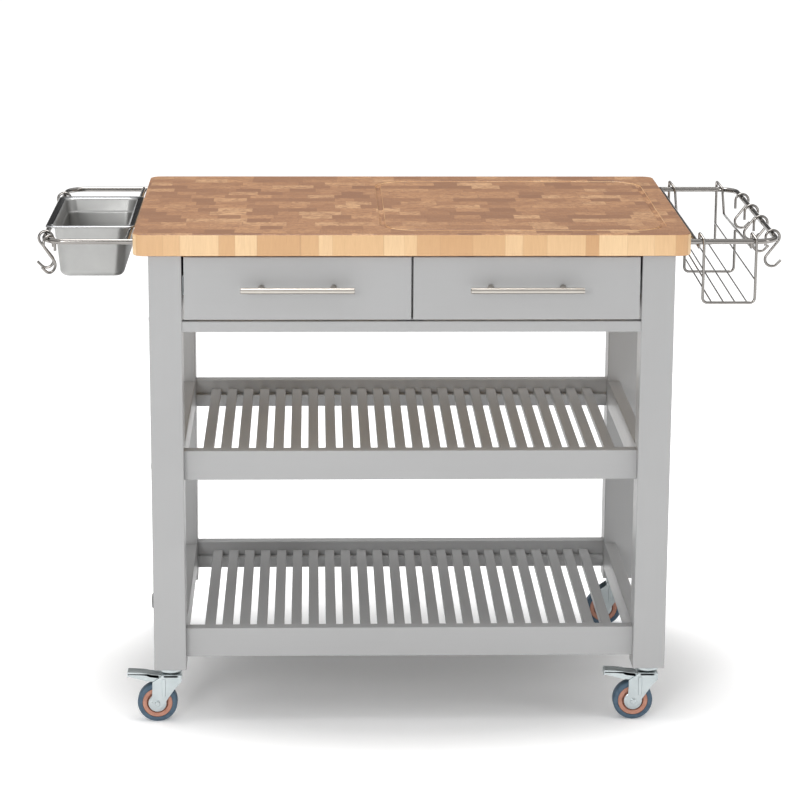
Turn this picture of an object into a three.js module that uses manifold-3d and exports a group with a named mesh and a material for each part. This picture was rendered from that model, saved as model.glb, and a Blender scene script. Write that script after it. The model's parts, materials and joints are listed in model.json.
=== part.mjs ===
// Kitchen island cart: a butcher-block worktop on a painted frame with two drawers, two slatted
// shelves, a hanging bar at each end, a steel pan, a wire basket, S-hooks and four swivel casters.
// Millimetres, +Z up, +X to the right seen from the drawers, drawers facing -Y.
// Origin: floor level, under the centre of the whole cart's bounding box.
import * as THREE from 'three';
import { mergeVertices } from 'three/addons/utils/BufferGeometryUtils.js';
import Module from 'manifold-3d';

const wasm = await Module();
wasm.setup();

// ---------------------------------------------------------------- driving dimensions
const GAP = 0.3; // clearance left between neighbouring pieces
const EASE = 1.6; // rounding of painted timber edges

const HEIGHT = 940;
const TOP_LENGTH = 1016;
const TOP_DEPTH = 650;
const TOP_THICKNESS = 40;
const TOP_CORNER = 22;
const TOP_EASE = 2.5;
const TOP_UNDERSIDE = HEIGHT - TOP_THICKNESS;

const GROOVE = { left: -52, right: 467, front: -277, back: 262, width: 12, depth: 4.5, corner: 58 };

const LEG = 60;
const LEG_OUTER_X = 480;
const LEG_OUTER_Y = 315;
const LEG_FOOT = 108;
const LEG_EASE = 2;
const CUT_SPARE = 2; // how far a cutting tool runs past the face it opens
const LEG_X = LEG_OUTER_X - LEG / 2;
const LEG_Y = LEG_OUTER_Y - LEG / 2;
const LEG_INNER_X = LEG_OUTER_X - LEG;
const LEG_INNER_Y = LEG_OUTER_Y - LEG;

const RAIL_THICKNESS = 24;
const RAIL_HEIGHT = 56;
const RAIL_INSET = 18; // front and back rails, behind the leg faces
const SIDE_RAIL_X = 433; // centre line of the side rails and side aprons
const SHELF_RAIL_FOOTS = { lower: 129, middle: 473 };
const SLAT_COUNT = 24;
const SLAT_WIDTH = 19.5;
const SLAT_SPAN = 776;
const SLAT_THICKNESS = 12;
const SLAT_DROP = 18; // slat tops below the rail tops
const SLAT_EASE = 1;
const CLEAT = 14;
const CLEAT_END_GAP = 0.8; // between a cleat's end and the leg
const OVERLAP = 1; // how deep pieces of one solid run into each other

const CASE_FLOOR = 757; // underside of the drawer case
const CASE_RAIL_HEIGHT = 20;
const CASE_RAIL_DEPTH = 20;
const CASE_RAIL_INSET = 2;
const APRON_THICKNESS = 24;
const BACK_APRON_INSET = 18;
const DIVIDER = 18;

const DRAWER_TRAVEL_ROOM = 3; // gap above the drawer fronts
const DRAWER_FRONT = { inner: 2, outer: 416, foot: 780, thickness: 18, face: -313 };
const DRAWER_BOX = { inner: 22, outer: 406.5, foot: 792, height: 88, back: 215, wall: 12, floor: 6 };
const RUNNER = { height: 36, depth: 10, wall: 1.6, foot: 822, front: -290, back: 250 };
const TONGUE = { height: 18, clearance: 1.5, setback: 4 }; // the drawer's slide member
const PULL = { length: 207, posts: 132, bar: 5.5, post: 4.5, reach: 30, height: 840, x: 209 };

const BAR = { radius: 5, z: 920, inner: 520, outer: 672, arm: 285, corner: 40, socket: 28 };

const PAN = {
  length: 330,
  width: 166,
  depth: 100,
  rim: 1.4,
  wall: 1.2,
  taper: 10,
  lip: 14.5,
  rimCorner: 14,
};
const PAN_X = -595;
const PAN_Y = -4;
const PAN_CORNER = 22;

const BASKET = {
  left: 534,
  right: 630,
  floor: 807,
  rimFront: 907,
  rimBack: 871,
  midWire: 851,
  wire: 2.6,
  thin: 1.5,
  skewFront: 7, // how far the hooked wires lean sideways behind the front arm
  skewBack: 9,
  skewBackFoot: 14,
  backRoom: 4, // further in from the back arm, clear of the bar's bend
  turn: -0.0102, // radians that the basket hangs out of square with the bar
  bend: 9,
  tightBend: 3.4,
  overBar: 1.3, // room between a hooked wire and the bar
  frameDrop: 3,
  tailDrop: 8,
  peak: 6, // how far the hooked wires rise behind the bar's arm
  floorWires: [0.16, 0.39, 0.61, 0.84], // places of the floor wires, as shares of the width
};
const HOOK = { wire: 2.6, loop: 13, centres: 42, tail: 16, lip: 11, lipAngle: 1.75 * Math.PI };
const HOOKS_RIGHT = [182, 55, -66, -214];
const HOOKS_LEFT = [195, -222];
const CORNER_HOOK_TURN = THREE.MathUtils.degToRad(42);

const WHEEL_RADIUS = 37.5;
const WHEEL_WIDTH = 24;
const TYRE_INNER = 28.4;
const TRAIL = 26;
const STEM = {
  radius: 5,
  socket: 5.4,
  height: 34,
  spare: 4,
  flange: 24,
  flangeDrop: 7,
  cup: 18,
  cupDrop: 11,
};
const FORK = {
  crown: 95,
  plate: 2.5,
  inner: 14.5,
  halfLength: 20,
  shoulder: 14, // height of the straight sides under the crown
  crownBack: -12,
  boss: 11,
  bossStart: -0.6,
  bossEnd: -0.95 * Math.PI,
  rearLean: 6,
};
const AXLE = { radius: 4, proud: 4, head: 6.5, cover: 17, coverGap: 0.8 };
const CORE = { bore: 4.4, hub: 10, web: 5, rim: 4, step: 0.5 };
const TREAD_ROUND = { across: 4, deep: 3.5 };
const PEDAL = {
  pivotX: -20,
  pivotZ: 89,
  pin: 3.6,
  kneeX: -44,
  padX: -60,
  padZ: 95,
  tip: -82.5,
  tipRise: 1,
  lipZ: 88,
  width: 27,
  thickness: 2.6,
  half: 3, // half the lever's height at its pin
};

const LEG_CAP = { radius: 14, proud: 3, z: 236 };

// The pulls reach further forward than the worktop reaches back: the model is moved so that the
// origin is under the middle of both.
const FRONT_REACH = PULL.reach + PULL.bar - DRAWER_FRONT.face;
const CENTRE_SHIFT_Y = (FRONT_REACH - TOP_DEPTH / 2) / 2;

// ---------------------------------------------------------------- materials
function finish(color, roughness, metalness) {
  return new THREE.MeshStandardMaterial({ color, roughness, metalness });
}

const BUTCHER_BLOCK = finish(0xcf9f72, 0.5, 0);
const PAINT = finish(0xb9babb, 0.5, 0);
const BIRCH = finish(0xdcc29a, 0.6, 0);
const STAINLESS = finish(0xc8c8c6, 0.25, 1);
const NICKEL = finish(0xb8b2aa, 0.3, 1);
const ZINC = finish(0xb4bcc0, 0.35, 1);
const TYRE_RUBBER = finish(0x33485c, 0.7, 0);
const CORE_PLASTIC = finish(0xb57865, 0.5, 0);
const BLACK_PLASTIC = finish(0x30302f, 0.5, 0);

// ---------------------------------------------------------------- geometry helpers
const X_AXIS = new THREE.Vector3(1, 0, 0);
const Y_AXIS = new THREE.Vector3(0, 1, 0);
const Z_AXIS = new THREE.Vector3(0, 0, 1);

// Where a section's own x, y and extrusion directions go when it runs along each axis.
const ALONG = {
  x: new THREE.Matrix4().makeBasis(Y_AXIS, Z_AXIS, X_AXIS),
  y: new THREE.Matrix4().makeBasis(Z_AXIS, X_AXIS, Y_AXIS),
  z: new THREE.Matrix4(),
};

function welded(geometry) {
  const bare = geometry.clone();
  bare.deleteAttribute('normal');
  bare.deleteAttribute('uv');
  return mergeVertices(bare, 1e-3);
}

function toSolid(geometry) {
  const mesh = welded(geometry);
  const vertProperties = new Float32Array(mesh.attributes.position.array);
  const triVerts = new Uint32Array(mesh.index.array);
  return new wasm.Manifold(new wasm.Mesh({ numProp: 3, vertProperties, triVerts }));
}

function toGeometry(solid) {
  const mesh = solid.getMesh();
  const geometry = new THREE.BufferGeometry();
  geometry.setAttribute('position', new THREE.BufferAttribute(mesh.vertProperties, 3));
  geometry.setIndex(new THREE.BufferAttribute(mesh.triVerts, 1));
  geometry.computeVertexNormals();
  return geometry;
}

function joined(geometries) {
  return toGeometry(geometries.map(toSolid).reduce((whole, next) => whole.add(next)));
}

function cut(base, tools) {
  return toGeometry(tools.map(toSolid).reduce((rest, tool) => rest.subtract(tool), toSolid(base)));
}

// Rounded rectangle from (x0, y0) to (x1, y1).
function roundedRectangle(x0, y0, x1, y1, radius) {
  const shape = new THREE.Shape();
  shape.moveTo(x0 + radius, y0);
  shape.lineTo(x1 - radius, y0);
  shape.absarc(x1 - radius, y0 + radius, radius, -Math.PI / 2, 0);
  shape.lineTo(x1, y1 - radius);
  shape.absarc(x1 - radius, y1 - radius, radius, 0, Math.PI / 2);
  shape.lineTo(x0 + radius, y1);
  shape.absarc(x0 + radius, y1 - radius, radius, Math.PI / 2, Math.PI);
  shape.lineTo(x0, y0 + radius);
  shape.absarc(x0 + radius, y0 + radius, radius, Math.PI, Math.PI * 1.5);
  return shape;
}

// A section extruded from `from` to `to` along an axis.
function extruded(shape, axis, from, to, curveSegments = 1) {
  const settings = { depth: to - from, bevelEnabled: false, curveSegments };
  const geometry = new THREE.ExtrudeGeometry(shape, settings);
  geometry.translate(0, 0, from);
  return geometry.applyMatrix4(ALONG[axis]);
}

// A sawn board with its four long edges eased; spans are [from, to] along x, y and z.
function board(axis, xs, ys, zs, ease = EASE) {
  const section = { x: [ys, zs], y: [zs, xs], z: [xs, ys] }[axis];
  const run = { x: xs, y: ys, z: zs }[axis];
  const [[u0, u1], [v0, v1]] = section;
  return extruded(roundedRectangle(u0, v0, u1, v1, ease), axis, run[0], run[1]);
}

function box(xs, ys, zs) {
  const geometry = new THREE.BoxGeometry(xs[1] - xs[0], ys[1] - ys[0], zs[1] - zs[0]);
  return geometry.translate((xs[0] + xs[1]) / 2, (ys[0] + ys[1]) / 2, (zs[0] + zs[1]) / 2);
}

// A round bar from `from` to `to` along an axis; `across` places it in the other two directions.
function round(axis, radius, from, to, across, segments = 16) {
  const geometry = new THREE.CylinderGeometry(radius, radius, to - from, segments);
  const middle = (from + to) / 2;
  if (axis === 'x') return geometry.rotateZ(-Math.PI / 2).translate(middle, across[0], across[1]);
  if (axis === 'y') return geometry.translate(across[0], middle, across[1]);
  return geometry.rotateX(Math.PI / 2).translate(across[0], across[1], middle);
}

// A turned piece: profile points are [radius, height], turned about Z or about Y.
function turned(profile, segments, axis = 'z') {
  const points = profile.map(([radius, height]) => new THREE.Vector2(radius, height));
  const geometry = new THREE.LatheGeometry(points, segments);
  return axis === 'z' ? geometry.rotateX(Math.PI / 2) : geometry;
}

// A path that a wire follows exactly through its points.
class WirePath extends THREE.Curve {
  constructor(points) {
    super();
    this.points = points;
  }

  getPointAt(u, target = new THREE.Vector3()) {
    const last = this.points.length - 1;
    return target.copy(this.points[Math.min(last, Math.round(u * last))]);
  }

  getPoint(t, target) {
    return this.getPointAt(t, target);
  }

  getTangentAt(u, target = new THREE.Vector3()) {
    const last = this.points.length - 1;
    const i = Math.min(last, Math.round(u * last));
    const ahead = this.points[Math.min(last, i + 1)].clone().sub(this.points[i]).normalize();
    const behind = this.points[i].clone().sub(this.points[Math.max(0, i - 1)]).normalize();
    return target.copy(ahead).add(behind).normalize();
  }
}

// Corner points of a path with every inner corner rounded to `radius`.
function bent(corners, radius, steps) {
  const points = corners.map((corner) => new THREE.Vector3(...corner));
  const path = [points[0]];
  for (let i = 1; i < points.length - 1; i += 1) {
    const back = points[i - 1].clone().sub(points[i]).normalize();
    const on = points[i + 1].clone().sub(points[i]).normalize();
    const half = back.angleTo(on) / 2;
    const centre = back.clone().add(on).normalize().multiplyScalar(radius / Math.sin(half)).add(points[i]);
    const reach = radius / Math.tan(half);
    const start = back.multiplyScalar(reach).add(points[i]).sub(centre);
    const end = on.multiplyScalar(reach).add(points[i]).sub(centre);
    const sweep = start.angleTo(end);
    for (let step = 0; step <= steps; step += 1) {
      const t = step / steps;
      const along = start.clone().multiplyScalar(Math.sin((1 - t) * sweep) / Math.sin(sweep));
      path.push(along.addScaledVector(end, Math.sin(t * sweep) / Math.sin(sweep)).add(centre));
    }
  }
  path.push(points[points.length - 1]);
  return path;
}

// A wire or rod of round section along a list of points.
function wire(points, radius, sides = 8) {
  const section = new THREE.Shape();
  for (let i = 0; i < sides; i += 1) {
    const angle = (i / sides) * 2 * Math.PI;
    const at = [radius * Math.cos(angle), radius * Math.sin(angle)];
    if (i === 0) section.moveTo(...at);
    else section.lineTo(...at);
  }
  section.closePath();
  const extrudePath = new WirePath(points);
  return new THREE.ExtrudeGeometry(section, { steps: points.length - 1, extrudePath });
}

const sorted = (a, b) => [Math.min(a, b), Math.max(a, b)];

// ---------------------------------------------------------------- scene graph
const cart = new THREE.Group();
cart.position.y = CENTRE_SHIFT_Y;

function add(parent, name, geometry, material) {
  const mesh = new THREE.Mesh(geometry, material);
  mesh.name = name;
  parent.add(mesh);
  return mesh;
}

const SIDES = { left: -1, right: 1 };
const CORNERS = {
  front_left: [-1, -1],
  front_right: [1, -1],
  back_left: [-1, 1],
  back_right: [1, 1],
};

// ---------------------------------------------------------------- worktop
function grooveTool() {
  const { left, right, front, back, width, depth, corner } = GROOVE;
  const flat = width / 6; // half of the flat at the bottom of the groove
  const ring = roundedRectangle(left - flat, front - flat, right + flat, back + flat, corner + flat);
  ring.holes.push(roundedRectangle(left + flat, front + flat, right - flat, back - flat, corner - flat));
  const bevel = width / 2 - flat;
  const settings = { depth: 4, bevelSize: bevel, bevelThickness: depth, bevelSegments: 3, curveSegments: 3 };
  return new THREE.ExtrudeGeometry(ring, settings).translate(0, 0, HEIGHT);
}

function worktop() {
  const x = TOP_LENGTH / 2 - TOP_EASE;
  const y = TOP_DEPTH / 2 - TOP_EASE;
  const outline = roundedRectangle(-x, -y, x, y, TOP_CORNER - TOP_EASE);
  const slab = new THREE.ExtrudeGeometry(outline, {
    depth: TOP_THICKNESS - 2 * TOP_EASE,
    bevelSize: TOP_EASE,
    bevelThickness: TOP_EASE,
    bevelSegments: 2,
    curveSegments: 3,
  });
  slab.translate(0, 0, TOP_UNDERSIDE + TOP_EASE);
  const end = TOP_LENGTH / 2;
  const sockets = Object.values(CORNERS).map(([sx, sy]) => {
    const [from, to] = sorted(sx * (end - BAR.socket - CUT_SPARE), sx * (end + CUT_SPARE));
    return round('x', BAR.radius + GAP, from, to, [sy * BAR.arm, BAR.z]);
  });
  return cut(slab, [grooveTool(), ...sockets]);
}

add(cart, 'worktop', worktop(), BUTCHER_BLOCK);

// ---------------------------------------------------------------- legs
function leg(x, y) {
  const half = LEG / 2;
  const height = [LEG_FOOT, TOP_UNDERSIDE - GAP];
  const post = board('z', [x - half, x + half], [y - half, y + half], height, LEG_EASE);
  const holeTop = LEG_FOOT + STEM.height + STEM.spare;
  const stemHole = round('z', STEM.socket, LEG_FOOT - CUT_SPARE, holeTop, [x, y], 12);
  return cut(post, [stemHole]);
}

for (const [corner, [sx, sy]] of Object.entries(CORNERS)) {
  add(cart, `leg_${corner}`, leg(sx * LEG_X, sy * LEG_Y), PAINT);
}

// A plastic cap over the frame bolt on the outside of the front left leg.
const capInner = -LEG_OUTER_X - GAP;
const cap = round('x', LEG_CAP.radius, capInner - LEG_CAP.proud, capInner, [-LEG_Y, LEG_CAP.z], 20);
add(cart, 'leg_bolt_cap', cap, BLACK_PLASTIC);

// ---------------------------------------------------------------- rails between the legs
const betweenLegsX = [-LEG_INNER_X + GAP, LEG_INNER_X - GAP];
const betweenLegsY = [-LEG_INNER_Y + GAP, LEG_INNER_Y - GAP];
const railOuterY = LEG_OUTER_Y - RAIL_INSET;
const railInnerY = railOuterY - RAIL_THICKNESS;

function sideBoard(sx, thickness, zs) {
  const centre = sx * SIDE_RAIL_X;
  return board('y', [centre - thickness / 2, centre + thickness / 2], betweenLegsY, zs);
}

// ---------------------------------------------------------------- drawer case
const caseTop = TOP_UNDERSIDE - GAP;
for (const [side, sx] of Object.entries(SIDES)) {
  add(cart, `side_apron_${side}`, sideBoard(sx, APRON_THICKNESS, [CASE_FLOOR, caseTop]), PAINT);
}
const backApronOuter = LEG_OUTER_Y - BACK_APRON_INSET;
const backApronInner = backApronOuter - APRON_THICKNESS;
const backApronDepth = [backApronInner, backApronOuter];
add(cart, 'back_apron', board('x', betweenLegsX, backApronDepth, [CASE_FLOOR, caseTop]), PAINT);

const caseRailFront = -LEG_OUTER_Y + CASE_RAIL_INSET;
const caseRailTop = CASE_FLOOR + CASE_RAIL_HEIGHT;
const caseRailDepth = [caseRailFront, caseRailFront + CASE_RAIL_DEPTH];
const caseRailHeight = [CASE_FLOOR, caseRailTop];
add(cart, 'front_case_rail', board('x', betweenLegsX, caseRailDepth, caseRailHeight), PAINT);

const dividerFront = DRAWER_FRONT.face + DRAWER_FRONT.thickness + 2 * GAP;
const dividerDepth = [dividerFront, backApronInner - GAP];
const dividerHeight = [caseRailTop + GAP, caseTop];
add(cart, 'case_divider', board('y', [-DIVIDER / 2, DIVIDER / 2], dividerDepth, dividerHeight), PAINT);

// A runner is a channel fixed in the case, open towards its drawer.
function runner(wallX, towards) {
  const { height, depth, wall, foot, front, back } = RUNNER;
  const outline = [[0, 0], [depth, 0], [depth, wall], [wall, wall]];
  const mirrored = outline.map(([u, v]) => [u, height - v]).reverse();
  const points = [...outline, ...mirrored].map(([u, v]) => new THREE.Vector2(foot + v, wallX + towards * u));
  return extruded(new THREE.Shape(points), 'y', front, back);
}

const runnerWalls = { outer: LEG_INNER_X - 2 * GAP, inner: DIVIDER / 2 + GAP };

// ---------------------------------------------------------------- drawers
function drawerFront(sx) {
  const { inner, outer, foot, thickness, face } = DRAWER_FRONT;
  const top = TOP_UNDERSIDE - DRAWER_TRAVEL_ROOM;
  return board('x', sorted(sx * inner, sx * outer), [face, face + thickness], [foot, top]);
}

// An open box with a slide member along each side, running inside the case's channels.
function drawerBox(sx) {
  const { inner, outer, foot, height, back, wall, floor } = DRAWER_BOX;
  const front = DRAWER_FRONT.face + DRAWER_FRONT.thickness + GAP;
  const xs = sorted(sx * inner, sx * outer);
  const shell = box(xs, [front, back], [foot, foot + height]);
  const hollowHeight = [foot + floor, foot + height + CUT_SPARE];
  const hollow = box([xs[0] + wall, xs[1] - wall], [front + wall, back - wall], hollowHeight);
  const middle = RUNNER.foot + RUNNER.height / 2;
  const tongueHeight = [middle - TONGUE.height / 2, middle + TONGUE.height / 2];
  const tongueDepth = [RUNNER.front + TONGUE.setback, back];
  const reach = RUNNER.wall + TONGUE.clearance;
  const tongues = [
    box(sorted(sx * (runnerWalls.inner + reach), sx * (inner + OVERLAP)), tongueDepth, tongueHeight),
    box(sorted(sx * (outer - OVERLAP), sx * (runnerWalls.outer - reach)), tongueDepth, tongueHeight),
  ];
  return joined([cut(shell, [hollow]), ...tongues]);
}

function pull(sx) {
  const { length, posts, bar, post, reach, height } = PULL;
  const x = sx * PULL.x;
  const face = DRAWER_FRONT.face;
  const centreY = face - reach;
  const bars = [round('x', bar, x - length / 2, x + length / 2, [centreY, height], 12)];
  for (const side of [-1, 1]) {
    bars.push(round('y', post, centreY, face - GAP, [x + (side * posts) / 2, height], 10));
  }
  return joined(bars);
}

for (const [side, sx] of Object.entries(SIDES)) {
  add(cart, `runner_${side}_outer`, runner(sx * runnerWalls.outer, -sx), ZINC);
  add(cart, `runner_${side}_inner`, runner(sx * runnerWalls.inner, sx), ZINC);
  add(cart, `drawer_front_${side}`, drawerFront(sx), PAINT);
  add(cart, `drawer_box_${side}`, drawerBox(sx), BIRCH);
  add(cart, `drawer_pull_${side}`, pull(sx), NICKEL);
}

// ---------------------------------------------------------------- shelves
// A slat's section, with its two upper edges taken off; u is height and v is sideways.
function slatSection(from, top) {
  const foot = top - SLAT_THICKNESS;
  const to = from + SLAT_WIDTH;
  const edge = top - SLAT_EASE;
  const left = [[foot, from], [edge, from], [top, from + SLAT_EASE]];
  const right = [[top, to - SLAT_EASE], [edge, to], [foot, to]];
  const outline = [...left, ...right];
  return new THREE.Shape(outline.map(([u, v]) => new THREE.Vector2(u, v)).reverse());
}

function slatDeck(top) {
  const slatLength = railInnerY - GAP;
  const pitch = (SLAT_SPAN - SLAT_WIDTH) / (SLAT_COUNT - 1);
  const pieces = [];
  for (let i = 0; i < SLAT_COUNT; i += 1) {
    const from = -SLAT_SPAN / 2 + i * pitch;
    pieces.push(extruded(slatSection(from, top), 'y', -slatLength, slatLength));
  }
  const cleatTop = top - SLAT_THICKNESS + OVERLAP;
  const cleatEnd = LEG_INNER_X - GAP - CLEAT_END_GAP;
  for (const sy of [-1, 1]) {
    const ys = sorted(sy * slatLength, sy * (slatLength - CLEAT));
    pieces.push(box([-cleatEnd, cleatEnd], ys, [cleatTop - CLEAT, cleatTop]));
  }
  return joined(pieces);
}

for (const [level, foot] of Object.entries(SHELF_RAIL_FOOTS)) {
  const zs = [foot, foot + RAIL_HEIGHT];
  add(cart, `shelf_${level}_rail_front`, board('x', betweenLegsX, [-railOuterY, -railInnerY], zs), PAINT);
  add(cart, `shelf_${level}_rail_back`, board('x', betweenLegsX, [railInnerY, railOuterY], zs), PAINT);
  for (const [side, sx] of Object.entries(SIDES)) {
    add(cart, `shelf_${level}_rail_${side}`, sideBoard(sx, RAIL_THICKNESS, zs), PAINT);
  }
  add(cart, `shelf_${level}_deck`, slatDeck(foot + RAIL_HEIGHT - SLAT_DROP), PAINT);
}

// ---------------------------------------------------------------- hanging bars
function hangingBar(sx) {
  const end = sx * (TOP_LENGTH / 2 - BAR.socket);
  const outer = sx * BAR.outer;
  const places = [[end, -1], [outer, -1], [outer, 1], [end, 1]];
  const corners = places.map(([x, sy]) => [x, sy * BAR.arm, BAR.z]);
  const loop = wire(bent(corners, BAR.corner, 8), BAR.radius, 12);
  const crossbar = round('y', BAR.radius - 0.5, -BAR.arm, BAR.arm, [sx * BAR.inner, BAR.z], 8);
  return joined([loop, crossbar]);
}

for (const [side, sx] of Object.entries(SIDES)) {
  add(cart, `hanging_bar_${side}`, hangingBar(sx), STAINLESS);
}

// ---------------------------------------------------------------- steel pan
// One rounded, tapered block standing down from the level z = 0: the pan's outside or its inside.
function panBlock(inset, floorZ) {
  const corner = PAN_CORNER - inset;
  const bevel = PAN.taper - 2;
  const x = PAN.width / 2 - PAN.lip - inset - bevel;
  const y = PAN.length / 2 - PAN.lip - inset - bevel;
  const outline = roundedRectangle(-x, -y, x, y, Math.max(corner - bevel, 4));
  const upper = new THREE.ExtrudeGeometry(outline, {
    depth: -floorZ - bevel + 2,
    bevelSize: bevel,
    bevelThickness: bevel,
    bevelSegments: 3,
    curveSegments: 2,
  });
  upper.translate(0, 0, floorZ + bevel);
  return upper;
}

// The block's walls lean in towards the floor.
function leaned(geometry, floorZ) {
  const position = geometry.attributes.position;
  for (let i = 0; i < position.count; i += 1) {
    const depth = Math.min(1, Math.max(0, position.getZ(i) / floorZ));
    const narrow = 1 - (PAN.taper / PAN.width) * depth;
    const shorten = 1 - (PAN.taper / PAN.length) * depth;
    position.setX(i, position.getX(i) * narrow);
    position.setY(i, position.getY(i) * shorten);
  }
  return geometry;
}

function pan() {
  const { length, width, depth, rim, wall } = PAN;
  const outline = roundedRectangle(-width / 2, -length / 2, width / 2, length / 2, PAN.rimCorner);
  const rimPlate = extruded(outline, 'z', 0, rim, 2);
  const outside = leaned(panBlock(0, -depth), -depth);
  const inside = leaned(panBlock(wall, -depth + wall), -depth + wall);
  const aboveRim = box([-width, width], [-length, length], [rim, depth]);
  const capped = toSolid(outside).subtract(toSolid(aboveRim));
  const whole = toGeometry(capped.add(toSolid(rimPlate)));
  return cut(whole, [inside]);
}

const panRest = BAR.z + BAR.radius + GAP;
add(cart, 'pan', pan().translate(PAN_X, PAN_Y, panRest), STAINLESS);

// ---------------------------------------------------------------- wire basket
// Front and back frames hook over the bar's arms and run on as the side wires of the rim.
function basket() {
  const { left, right, floor, wire: thick, thin, rimFront, rimBack, peak } = BASKET;
  const { skewFront, skewBack, skewBackFoot } = BASKET;
  const rimMiddle = (rimFront + rimBack) / 2;
  const clear = BAR.radius + thick + BASKET.overBar;
  const over = BAR.z + clear;
  const frameY = BAR.arm + clear;
  const behindY = BAR.arm - clear;
  const backY = behindY - BASKET.backRoom;
  const pieces = [];
  for (const sy of [-1, 1]) {
    const corners = [
      [left, sy * frameY, over - BASKET.frameDrop],
      [left, sy * frameY, floor],
      [right, sy * frameY, floor],
      [right, sy * frameY, over - BASKET.frameDrop],
    ];
    pieces.push(wire(bent(corners, BASKET.bend, 3), thick, 6));
  }
  const middle = [[left, 0, rimMiddle], [left, 0, floor], [right, 0, floor], [right, 0, rimMiddle]];
  pieces.push(wire(bent(middle, BASKET.bend, 3), thick, 6));
  for (const x of [left, right]) {
    const corners = [
      [x, -frameY, over - BASKET.tailDrop],
      [x, -frameY, over],
      [x - skewFront, -behindY, over + peak],
      [x - skewFront, -behindY, rimFront],
      [x + skewBackFoot, backY, rimBack],
      [x + skewBack, backY, over + peak],
      [x, frameY, over],
      [x, frameY, over - BASKET.tailDrop],
    ];
    pieces.push(wire(bent(corners, BASKET.tightBend, 1), thick, 6));
    const inward = Math.sign((left + right) / 2 - x);
    const sideX = x + inward * thin;
    const ends = [[sideX, -frameY, BASKET.midWire], [sideX, frameY, BASKET.midWire]];
    pieces.push(wire(ends.map((p) => new THREE.Vector3(...p)), thin, 5));
  }
  for (const share of BASKET.floorWires) {
    const x = left + (right - left) * share;
    const ends = [[x, -frameY, floor + thick], [x, frameY, floor + thick]];
    pieces.push(wire(ends.map((p) => new THREE.Vector3(...p)), thin, 5));
  }
  const whole = joined(pieces);
  const centre = (left + right) / 2;
  whole.translate(-centre, frameY, 0);
  whole.rotateZ(BASKET.turn);
  return whole.translate(centre, -frameY, 0);
}

add(cart, 'basket', basket(), STAINLESS);

// ---------------------------------------------------------------- S-hooks
// The wire's centre line in the hook's own plane, hanging from a bar along Y through the origin.
function hookPoints() {
  const { wire: thick, loop, centres, tail, lip, lipAngle } = HOOK;
  const upperZ = BAR.radius + GAP - (loop - thick);
  const lowerZ = upperZ - centres;
  const lean = Math.PI / 2 - Math.acos((2 * loop) / centres); // where the straight leaves the loops
  const at = (centreZ, angle) => {
    return new THREE.Vector3(loop * Math.cos(angle), 0, centreZ + loop * Math.sin(angle));
  };
  const points = [new THREE.Vector3(-loop, 0, upperZ - tail)];
  const steps = 6;
  const upperSweep = Math.PI + lean;
  const lowerStart = Math.PI - lean;
  const lowerSweep = lipAngle - lowerStart;
  for (let i = 0; i <= steps; i += 1) points.push(at(upperZ, Math.PI - (i / steps) * upperSweep));
  for (let i = 0; i <= steps; i += 1) points.push(at(lowerZ, lowerStart + (i / steps) * lowerSweep));
  const flare = new THREE.Vector3(-Math.sin(lipAngle), 0, Math.cos(lipAngle));
  points.push(at(lowerZ, lipAngle).addScaledVector(flare, lip));
  return points;
}

function hookGroup(x, y, turn) {
  const group = new THREE.Group();
  group.position.set(x, y, BAR.z);
  group.rotation.z = turn;
  cart.add(group);
  return group;
}

HOOKS_RIGHT.forEach((y, i) => {
  add(hookGroup(BAR.outer, y, 0), `hook_right_${i + 1}`, wire(hookPoints(), HOOK.wire, 6), STAINLESS);
});
HOOKS_LEFT.forEach((y, i) => {
  add(hookGroup(-BAR.outer, y, Math.PI), `hook_left_${i + 1}`, wire(hookPoints(), HOOK.wire, 6), STAINLESS);
});
const bendX = -BAR.outer + BAR.corner * (1 - Math.cos(CORNER_HOOK_TURN));
const bendY = -BAR.arm + BAR.corner * (1 - Math.sin(CORNER_HOOK_TURN));
const cornerHook = hookGroup(bendX, bendY, Math.PI + CORNER_HOOK_TURN);
add(cornerHook, 'hook_left_3', wire(hookPoints(), HOOK.wire, 6), STAINLESS);

// ---------------------------------------------------------------- casters
// Stem, flange and swivel head: the part of a caster that stays still in the leg.
function casterStem() {
  const under = LEG_FOOT - GAP;
  return turned([
    [0, under - STEM.cupDrop],
    [STEM.cup, under - STEM.cupDrop],
    [STEM.flange, under - STEM.flangeDrop],
    [STEM.flange, under],
    [STEM.radius, under],
    [STEM.radius, LEG_FOOT + STEM.height],
    [0, LEG_FOOT + STEM.height],
  ], 14);
}

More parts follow.
